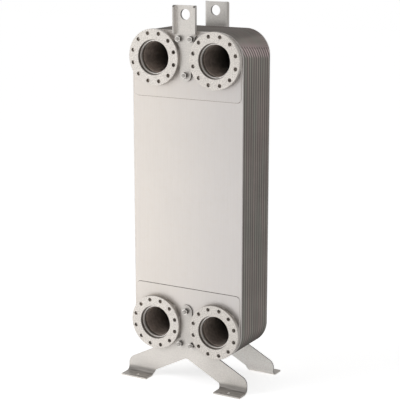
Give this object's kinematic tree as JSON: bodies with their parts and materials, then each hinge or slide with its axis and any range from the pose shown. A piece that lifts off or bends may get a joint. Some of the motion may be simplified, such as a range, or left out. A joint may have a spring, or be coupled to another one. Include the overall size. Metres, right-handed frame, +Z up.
{
  "type": "brazed plate heat exchanger",
  "caption": "Upright brazed plate heat exchanger with flanged ports on the front, folded lifting lugs on top and folded sheet feet bolted to both faces.",
  "frame": {"origin": "on the floor under the middle of the body, bottom centre of the overall box", "axes": "+X to the right seen from the flanged front, +Y to the back, +Z up; the ports face -Y"},
  "size_m": [0.459, 0.3008, 1.262],
  "materials": {
    "satin_sheet": "satin rolled stainless sheet",
    "brazed_plates": "stainless plate edges, darkened in the brazing furnace",
    "blasted_flange": "matt blasted stainless",
    "port_tube": "machined stainless tube",
    "bracket_sheet": "satin folded stainless sheet with dark cut edges",
    "fastener": "bright zinc or stainless"
  },
  "bodies": {
    "root": {"front_cover_plate": "satin_sheet", "front_upper_reinforcement_plate": "satin_sheet", "front_lower_reinforcement_plate": "satin_sheet", "rear_cover_plate": "satin_sheet", "rear_upper_reinforcement_plate": "satin_sheet", "rear_lower_reinforcement_plate": "satin_sheet", "channel_plate_pack": "brazed_plates", "upper_left_flange": "blasted_flange", "upper_right_flange": "blasted_flange", "lower_left_flange": "blasted_flange", "lower_right_flange": "blasted_flange", "upper_left_port_tube": "port_tube", "upper_right_port_tube": "port_tube", "lower_left_port_tube": "port_tube", "lower_right_port_tube": "port_tube", "front_lifting_lug": "bracket_sheet", "rear_lifting_lug": "bracket_sheet", "front_foot_bracket": "bracket_sheet", "rear_foot_bracket": "bracket_sheet", "front_upper_studs": "fastener", "front_upper_washers": "fastener", "front_upper_nuts": "fastener", "front_lower_studs": "fastener", "front_lower_washers": "fastener", "front_lower_nuts": "fastener", "rear_upper_studs": "fastener", "rear_upper_washers": "fastener", "rear_upper_nuts": "fastener", "rear_lower_studs": "fastener", "rear_lower_washers": "fastener", "rear_lower_nuts": "fastener"}
  },
  "joints": []
}
